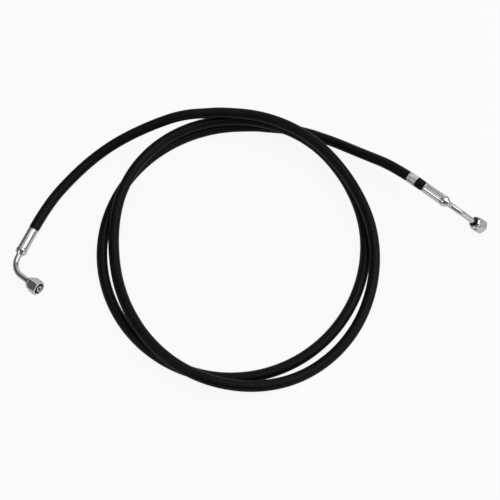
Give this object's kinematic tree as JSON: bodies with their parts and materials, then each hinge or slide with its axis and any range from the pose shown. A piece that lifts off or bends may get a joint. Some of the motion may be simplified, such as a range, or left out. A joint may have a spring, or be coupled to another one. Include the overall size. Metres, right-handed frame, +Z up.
{
  "type": "hydraulic hose assembly",
  "caption": "Black wire-braided rubber hose in a loose coil, with a crimped ferrule, a bent steel tube and a hexagon swivel nut at each end.",
  "frame": {"origin": "on the floor, under the middle of the box round the two end fittings, which the loose hose is left out of", "axes": "+X from the left fitting to the right fitting as pictured, +Y away from the viewer, +Z up from the surface that the hose lies on"},
  "size_m": [0.6658, 0.4224, 0.05],
  "materials": {
    "cover_rubber": "smooth black synthetic rubber with a soft sheen",
    "inner_rubber": "matte black",
    "braid_wire": "brass-coated wire braid",
    "label_film": "bare silver film",
    "plated_steel": "bright zinc-nickel plating",
    "seal_rubber": "black moulded ring",
    "spring_wire": "drawn wire"
  },
  "bodies": {
    "hose_and_fittings": {"hose_cover_left_run": "cover_rubber", "hose_cover_coil": "cover_rubber", "hose_cover_right_run": "cover_rubber", "hose_liner": "inner_rubber", "hose_cushion_layer": "inner_rubber", "hose_inner_braid": "braid_wire", "hose_outer_braid": "braid_wire", "id_label_band": "label_film", "left_ferrule": "plated_steel", "left_stem": "plated_steel", "left_elbow_tube": "plated_steel", "left_cone_nose": "plated_steel", "left_o_ring": "seal_rubber", "left_thrust_wire": "spring_wire", "right_ferrule": "plated_steel", "right_stem": "plated_steel", "right_elbow_tube": "plated_steel", "right_cone_nose": "plated_steel", "right_o_ring": "seal_rubber", "right_thrust_wire": "spring_wire"},
    "left_nut": {"left_swivel_nut": "plated_steel"},
    "right_nut": {"right_swivel_nut": "plated_steel"}
  },
  "joints": [
    {"name": "left_nut_turn", "type": "hinge", "parent": "hose_and_fittings", "child": "left_nut", "pos_m": [-0.2911, -0.07155, 0.01514], "axis": [0.7885, -0.6024, 0.124], "continuous": true},
    {"name": "right_nut_turn", "type": "hinge", "parent": "hose_and_fittings", "child": "right_nut", "pos_m": [0.32633, 0.02685, 0.00687], "axis": [0.7281, -0.1306, -0.6729], "continuous": true}
  ]
}
